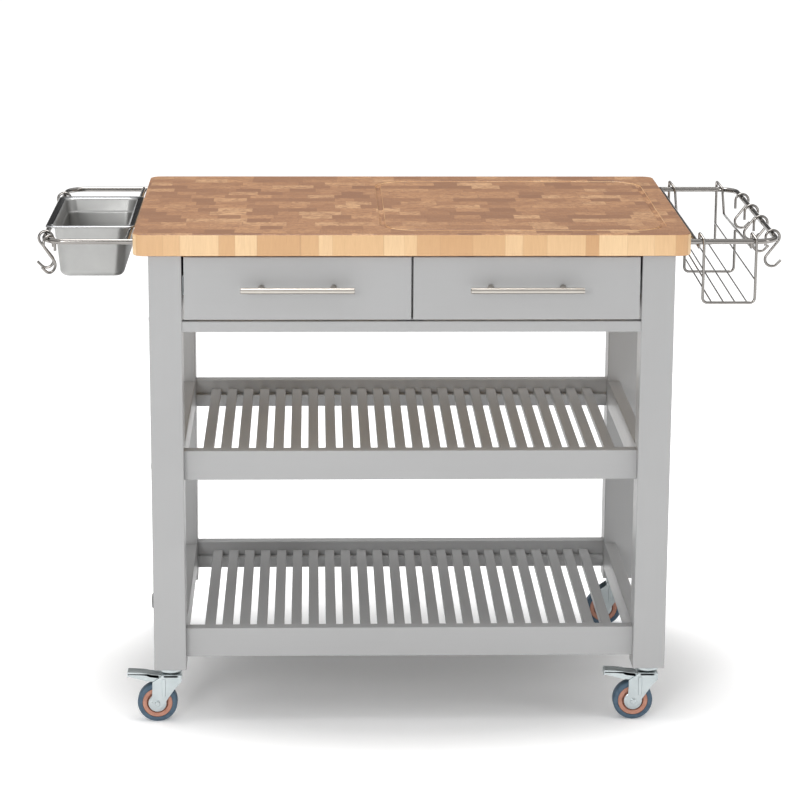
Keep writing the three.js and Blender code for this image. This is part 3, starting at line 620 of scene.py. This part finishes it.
def pan():
    """A pressed steel pan: rolled rim, steep lip, stacking ledge, tapered walls, round foot."""
    low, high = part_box("pan")
    centre = ((low.x + high.x) / 2, (low.y + high.y) / 2)
    half_x, half_y = (high.x - low.x) / 2, (high.y - low.y) / 2
    depth = (high.z - low.z) / MM
    lip, ledge, wall, round_foot, steps = 14.5, 25, 22.7, 12, 6

    def shape(work):
        # inset, height and corner radius in millimetres, measured from the rim's outer top corner
        profile = [
            (0.3, -3.2, 14), (0.0, -2.0, 14), (0.4, -0.6, 14), (1.5, -0.1, 13.5), (4.0, -0.1, 12),
            (9.0, -0.2, 14), (11.3, -0.9, 16), (13.2, -2.4, 18), (14.6, -5.0, 19.5),
            (lip + 1.2, -ledge, 21), (lip + 2.0, -ledge - 1.6, 21), (lip + 3.2, -ledge - 3.0, 20),
            (lip + 3.4, -ledge - 5.0, 20), (wall, 15.0 - depth, 20),
        ]
        for step in range(1, steps + 1):
            angle = step / steps * QUARTER_TURN
            inward, sunk = round_foot * (1 - math.cos(angle)), round_foot * math.sin(angle)
            profile.append((wall + inward, 14.0 - depth - sunk, 20 - inward))
        rings = []
        for inset, height, corner in profile:
            size = (half_x - inset * MM, half_y - inset * MM)
            rings.append(rounded(*size, corner * MM, high.z + height * MM, centre, 8))
        rows = loft(work, rings, close_ends=False)
        work.faces.new(rows[-1])

    made = mesh_object("steel_pan", shape, 50)
    thicken = made.modifiers.new("gauge", "SOLIDIFY")
    thicken.thickness = 0.8 * MM
    thicken.offset = 0.0
    applied(made)
    place(made, SHEET, "pan", "stainless_sheet", ["pan"])


# ---------------------------------------------------------------- drawer pulls
def drawer_pull(side):
    """A straight round bar with chamfered ends on two flared posts."""
    low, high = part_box(f"drawer_pull_{side}")
    radius = (high.z - low.z) / 2
    height = (low.z + high.z) / 2
    centre_x = (low.x + high.x) / 2
    bar_y = low.y + radius
    length, reach = high.x - low.x, high.y - bar_y
    post_spread, chamfer = 66 * MM, 0.9 * MM

    def shape(work):
        bar = [
            (radius - chamfer, 0.0), (radius, chamfer),
            (radius, length - chamfer), (radius - chamfer, length),
        ]
        turned(work, bar, about_x(Vector((low.x, bar_y, height))), 32)
        post = [(4.5 * MM, 0.0), (4.5 * MM, reach - 6 * MM), (5.6 * MM, reach - 1.5 * MM), (5.8 * MM, reach)]
        for sign in (-1, 1):
            turned(work, post, about_y(Vector((centre_x + sign * post_spread, bar_y, height))), 24)

    made = mesh_object(f"bar_pull_{side}", shape)
    place(made, NICKEL, f"drawer_{side}", "brushed_nickel", [f"drawer_pull_{side}"])


# ---------------------------------------------------------------- casters
def tyre_size(corner):
    """Half the width and the radius of one tyre."""
    low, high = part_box(f"tyre_{corner}")
    return (high.y - low.y) / 2, (high.z - low.z) / 2


def wheel(corner):
    """A tyre with rounded shoulders on a webbed core."""
    axle = Vector(JOINTS[f"wheel_{corner}_spin"]["pos_m"])
    half, radius = tyre_size(corner)
    inner, shoulder_in, shoulder_down = 28.4 * MM, 5 * MM, 4 * MM

    def tyre(work):
        side = [(inner, -half), (radius - shoulder_in, -half)]
        for step in range(1, 6):
            angle = step / 6 * QUARTER_TURN
            out = radius - shoulder_in * (1 - math.sin(angle))
            side.append((out, -half + shoulder_down * (1 - math.cos(angle))))
        side.append((radius, -half + shoulder_down))
        profile = side + [(r, -h) for r, h in reversed(side)] + [side[0]]
        turned(work, profile, about_y(axle), 56)

    def core(work):
        edge, web = inner - 0.2 * MM, 5 * MM
        side = [
            (4.4 * MM, half), (10 * MM, half), (11 * MM, web), (19.2 * MM, web),
            (19.8 * MM, half - 1.6 * MM), (20.6 * MM, half - 0.7 * MM), (24 * MM, half - 0.4 * MM),
            (edge - 0.8 * MM, half - 0.5 * MM), (edge, half - 1.3 * MM),
        ]
        profile = side + [(r, -h) for r, h in reversed(side)] + [side[0]]
        turned(work, profile, about_y(axle), 48)

    made = mesh_object(f"tread_{corner}", tyre)
    place(made, TYRE, f"wheel_{corner}", "tyre_rubber", [f"tyre_{corner}"])
    made = mesh_object(f"hub_{corner}", core)
    place(made, CORE, f"wheel_{corner}", "core_plastic", [f"wheel_core_{corner}"])


def fork(corner):
    """Two ribbed side plates under a domed crown, with the axle, its heads and dust covers."""
    swivel = Vector(JOINTS[f"caster_{corner}_swivel"]["pos_m"])
    axle = Vector(JOINTS[f"wheel_{corner}_spin"]["pos_m"])
    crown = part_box(f"caster_fork_{corner}")[1].z
    half_tyre = tyre_size(corner)[0]
    trail = axle.x - swivel.x
    gap, plate, boss = 14.5 * MM, 2.5 * MM, 11 * MM
    face = gap + plate

    def side_plate(y):
        """Broad under the crown, pinched to a round boss at the axle."""
        points = [(20 * MM, crown - 2 * MM), (20 * MM, crown - 14 * MM), (9 * MM, crown - 26 * MM)]
        for step in range(9):
            angle = -0.6 + step / 8 * (0.6 - 0.95 * math.pi)
            points.append((trail + boss * math.cos(angle), axle.z + boss * math.sin(angle)))
        points += [(trail - 9 * MM, crown - 30 * MM), (trail - 9 * MM, crown - 16 * MM)]
        points += [(-19 * MM, crown - 5 * MM), (-17 * MM, crown - 2 * MM)]
        return [Vector((swivel.x + x, swivel.y + y, z)) for x, z in points]

    def rib(y, width):
        """A narrow upright swage beside the axle, width times as broad."""
        corners = [(-3, 18), (3, 18), (4, 12), (3.4, -16), (0, -20), (-3.4, -16), (-4, 12)]
        middle = Vector((axle.x + 12.5 * MM, swivel.y + y, crown - 27 * MM))
        return [middle + Vector((x * width * MM, 0, z * MM)) for x, z in corners]

    def shape(work):
        for sign in (-1, 1):
            loft(work, [side_plate(sign * gap), side_plate(sign * face)])
            proud = ((gap + 1 * MM, 1.0), (face + 0.2 * MM, 1.0), (face + 1.2 * MM, 0.8))
            loft(work, [rib(sign * y, width) for y, width in proud])
        dome = []
        for inset, rise in ((0, -6), (0, -2.5), (1.2, -0.7), (3.0, -0.05), (9.0, -0.05)):
            size = ((20 - inset) * MM, face - inset * MM)
            dome.append(rounded(*size, (7 - min(inset, 5)) * MM, crown + rise * MM, swivel.xy, 5))
        loft(work, dome)
        cover = [
            (4 * MM, half_tyre + 0.8 * MM), (16.2 * MM, half_tyre + 0.8 * MM),
            (17 * MM, half_tyre + 1.2 * MM), (17 * MM, half_tyre + 1.8 * MM),
            (15 * MM, gap + 0.4 * MM), (4 * MM, gap + 0.4 * MM),
        ]
        head = [
            (6.5 * MM, face - 0.5 * MM), (6.5 * MM, face + 0.8 * MM), (5.2 * MM, face + 1.0 * MM),
            (5.2 * MM, face + 3.2 * MM), (4.2 * MM, face + 3.9 * MM),
        ]
        for sign in (-1, 1):
            turned(work, cover, about_y(axle, sign), 36)
            turned(work, head, about_y(axle, sign), 24)
        turned(work, [(4 * MM, -gap), (4 * MM, gap)], about_y(axle), 20)

    made = mesh_object(f"fork_{corner}", shape, 30)
    place(made, ZINC, f"caster_{corner}", "zinc_plate", [f"caster_fork_{corner}"])


def stem(corner):
    """The swivel's bearing cup, and the plain stem above it."""
    swivel = Vector(JOINTS[f"caster_{corner}_swivel"]["pos_m"])
    low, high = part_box(f"caster_stem_{corner}")
    cup_top = low.z + 11 * MM

    def shape(work):
        profile = [
            (12 * MM, low.z), (17 * MM, low.z + 0.3 * MM), (18.4 * MM, low.z + 1.4 * MM),
            (23 * MM, cup_top - 7.6 * MM), (23.9 * MM, cup_top - 6.6 * MM), (23.9 * MM, cup_top - 3 * MM),
            (23 * MM, cup_top - 0.4 * MM), (22 * MM, cup_top), (5 * MM, cup_top), (5 * MM, high.z),
        ]
        turned(work, profile, Matrix.Translation((swivel.x, swivel.y, 0)), 40)

    made = mesh_object(f"swivel_{corner}", shape)
    place(made, ZINC, "frame", "zinc_plate", [f"caster_stem_{corner}"])


def brake(corner):
    """A bent pedal with side cheeks, a round eye at its pivot and three grip ridges."""
    low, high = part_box(f"brake_pedal_{corner}")
    pivot = Vector(JOINTS[f"brake_{corner}_press"]["pos_m"])
    half_width = (high.y - low.y) / 2
    inset, gauge = 1.2 * MM, 1.4 * MM
    tip = (low.x - pivot.x) / MM

    def outline(points, y):
        """Points in millimetres from the pivot, in the plane at y."""
        return [pivot + Vector((x * MM, y, z * MM)) for x, z in points]

    def shape(work):
        top = [(0, 3), (-20, 5.2), (-26, 7.4), (-40, 8.6), (tip + 1.5, 9.6), (tip + 0.2, 8.2)]
        under = [(tip + 0.2, -1), (tip + 2.2, -1), (tip + 2.6, 4.6), (-40, 4.2), (-26, 3), (-20, 0), (0, -3)]
        slim = [(x, z - math.copysign(0.2, z)) for x, z in top + under]
        full_from, full_to = inset - half_width, half_width - inset
        rings = [(slim, -half_width), (top + under, full_from), (top + under, full_to), (slim, half_width)]
        loft(work, [outline(*ring) for ring in rings])
        turned(work, [(3.6 * MM, -half_width), (3.6 * MM, half_width)], about_y(pivot), 20)
        cheek = [(-3, 4), (-3, -4), (-14, -9), (-26, -8), (tip + 3, 1), (tip + 1, 6), (-26, 6)]
        for sign in (-1, 1):
            loft(work, [outline(cheek, sign * (half_width - gauge)), outline(cheek, sign * half_width)])
        end = half_width - 4 * MM
        for share in (0.62, 0.74, 0.86):
            ridge = about_y(pivot + Vector((share * tip * MM, 0, 7.9 * MM)))
            turned(work, [(0.8 * MM, -end), (1.1 * MM, 0), (0.8 * MM, end)], ridge, 10)

    made = mesh_object(f"pedal_{corner}", shape, 30)
    place(made, ZINC, f"pedal_{corner}", "zinc_plate", [f"brake_pedal_{corner}"])


# ---------------------------------------------------------------- small fittings
def bolt_caps():
    """Paint-coloured caps over the frame bolts on the outer faces of the front legs."""
    profile = [(6 * MM, -0.5 * MM), (6 * MM, 1.0 * MM), (5.2 * MM, 1.8 * MM), (3 * MM, 2.2 * MM)]
    for side, sign in (("left", -1), ("right", 1)):
        low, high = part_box(f"leg_front_{side}")
        face = low.x if sign < 0 else high.x
        rail_low, rail_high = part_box(f"shelf_middle_rail_{side}")
        heights = {
            "lower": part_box(f"side_apron_{side}")[0].z + 19 * MM,
            "middle": (rail_low.z + rail_high.z) / 2 - 4 * MM,
        }
        for level, height in heights.items():
            spot = about_x(Vector((face, (low.y + high.y) / 2, height)), sign)
            made = mesh_object(f"bolt_cap_{side}_{level}", lambda work: turned(work, profile, spot, 28))
            place(made, PAINT[2], "frame", "grey_paint")


def leg_cap():
    """The dark dished cap on the outer side of the front left leg."""
    low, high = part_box("leg_bolt_cap")
    centre = (low + high) / 2
    radius, proud = (high.z - low.z) / 2, high.x - low.x

    def shape(work):
        profile = [
            (radius, 0.0), (radius, proud - 1 * MM), (radius - 1 * MM, proud),
            (radius - 5 * MM, proud), (radius - 6 * MM, proud - 0.8 * MM),
        ]
        turned(work, profile, about_x(Vector((high.x, centre.y, centre.z)), -1), 36)

    made = mesh_object("leg_cap", shape)
    place(made, BLACK, "frame", "black_plastic", ["leg_bolt_cap"])


worktop()
for side_name, side_sign in (("left", -1), ("right", 1)):
    hanging_bar(side_name, side_sign)
    drawer_pull(side_name)
basket()
pan()
for node in frame["nodes"]:
    if node.startswith("hook_"):
        hook(node)
for corner_name in CORNERS:
    wheel(corner_name)
    fork(corner_name)
    stem(corner_name)
    if corner_name.startswith("front"):
        brake(corner_name)
leg_cap()
bolt_caps()

PAINTED = (
    "leg_front", "leg_back", "side_apron", "back_apron",
    "front_case", "case_divider", "shelf_", "drawer_front",
)
for node in frame["nodes"]:
    if node.endswith("_deck"):
        recoat(node, PAINT[1])
    elif node.startswith(PAINTED):
        recoat(node, PAINT[paint_axis(node)])
    elif node.startswith("drawer_box"):
        recoat(node, BIRCH)
    elif node.startswith("runner"):
        recoat(node, ZINC)


# ---------------------------------------------------------------- stage, light, camera
def stage():
    """A pale floor that glows more with distance from the cart, up to plain white: its dim middle is a
    painted shadow under the cart.
    """
    half = 40.0
    data = bpy.data.meshes.new("floor")
    corners = [(-half, -half, 0), (half, -half, 0), (half, half, 0), (-half, half, 0)]
    data.from_pydata(corners, [], [(0, 1, 2, 3)])
    floor = bpy.data.objects.new("floor", data)
    bpy.context.scene.collection.objects.link(floor)
    pale = bpy.data.materials.new("floor_pale")
    pale.use_nodes = True
    surface = pale.node_tree.nodes["Principled BSDF"]
    surface.inputs["Base Color"].default_value = (0.93, 0.93, 0.93, 1.0)
    surface.inputs["Roughness"].default_value = 0.9
    surface.inputs["Specular IOR Level"].default_value = 0.1
    surface.inputs["Emission Color"].default_value = (1.0, 1.0, 1.0, 1.0)
    tree = pale.node_tree
    place = tree.nodes.new("ShaderNodeTexCoord")
    oval = tree.nodes.new("ShaderNodeVectorMath")
    oval.operation = "MULTIPLY"
    oval.inputs[1].default_value = (1.0, 1.3, 1.0)
    spread = tree.nodes.new("ShaderNodeVectorMath")
    spread.operation = "LENGTH"
    # painted shadow: the floor's glow is kept low under and round the cart, so the floor there looks shaded
    glow = tree.nodes.new("ShaderNodeMapRange")
    glow.interpolation_type = "SMOOTHSTEP"
    for index, value in enumerate((0.42, 0.78, 0.03, 0.38), 1):
        glow.inputs[index].default_value = value
    tree.links.new(place.outputs["Object"], oval.inputs[0])
    tree.links.new(oval.outputs["Vector"], spread.inputs[0])
    tree.links.new(spread.outputs["Value"], glow.inputs[0])
    tree.links.new(glow.outputs[0], surface.inputs["Emission Strength"])
    data.materials.append(pale)


def area_light(name, location, target, size, power):
    """A soft rectangular light at a location, turned to its target."""
    data = bpy.data.lights.new(name, "AREA")
    data.shape = "RECTANGLE"
    data.size, data.size_y = size
    data.energy = power
    made = bpy.data.objects.new(name, data)
    made.location = location
    made.rotation_euler = (Vector(target) - Vector(location)).to_track_quat("-Z", "Y").to_euler()
    bpy.context.scene.collection.objects.link(made)


def lights():
    """Three soft boxes and a banded studio world."""
    area_light("overhead", (-0.4, 0.3, 4.2), (0, 0, 0.5), (2.4, 1.8), 92)
    area_light("front_fill", (-2.2, -5.5, 2.4), (0, 0, 0.5), (1.6, 2.0), 92)
    area_light("side_fill", (4.0, -2.0, 1.8), (0, 0, 0.5), (0.8, 2.2), 18)
    world = bpy.data.worlds.new("studio")
    world.use_nodes = True
    tree = world.node_tree
    place = tree.nodes.new("ShaderNodeTexCoord")
    split = tree.nodes.new("ShaderNodeSeparateXYZ")
    height = tree.nodes.new("ShaderNodeValToRGB")
    # bright overhead and at the very horizon, dim between, so that bright metal has something to show
    bands = ((0.0, 0.9), (0.09, 0.9), (0.11, 0.035), (0.17, 0.035), (0.62, 1.0))
    for _ in range(len(bands) - 2):
        height.color_ramp.elements.new(0.5)
    for element, (position, grey) in zip(height.color_ramp.elements, bands):
        element.position = position
        element.color = (grey, grey, grey, 1.0)
    tree.links.new(place.outputs["Generated"], split.inputs[0])
    tree.links.new(split.outputs["Z"], height.inputs[0])
    tree.links.new(height.outputs[0], tree.nodes["Background"].inputs["Color"])
    tree.nodes["Background"].inputs["Strength"].default_value = 0.85
    bpy.context.scene.world = world
    bpy.context.scene.view_settings.view_transform = "Standard"


def camera():
    """A long lens in front, a little to the left and above, looking slightly down."""
    yaw, pitch, roll = 0.03071, 0.2402, 0.005356
    data = bpy.data.cameras.new("camera")
    data.sensor_width = 36.0
    data.lens = 130.54
    made = bpy.data.objects.new("camera", data)
    turn = Matrix.Rotation(-yaw, 4, "Z") @ Matrix.Rotation(math.pi / 2 - pitch, 4, "X")
    spot = Matrix.Translation(Vector((-0.1806, -5.48075, 1.8984)))
    made.matrix_world = spot @ turn @ Matrix.Rotation(roll, 4, "Z")
    bpy.context.scene.collection.objects.link(made)
    bpy.context.scene.camera = made


stage()
lights()
camera()
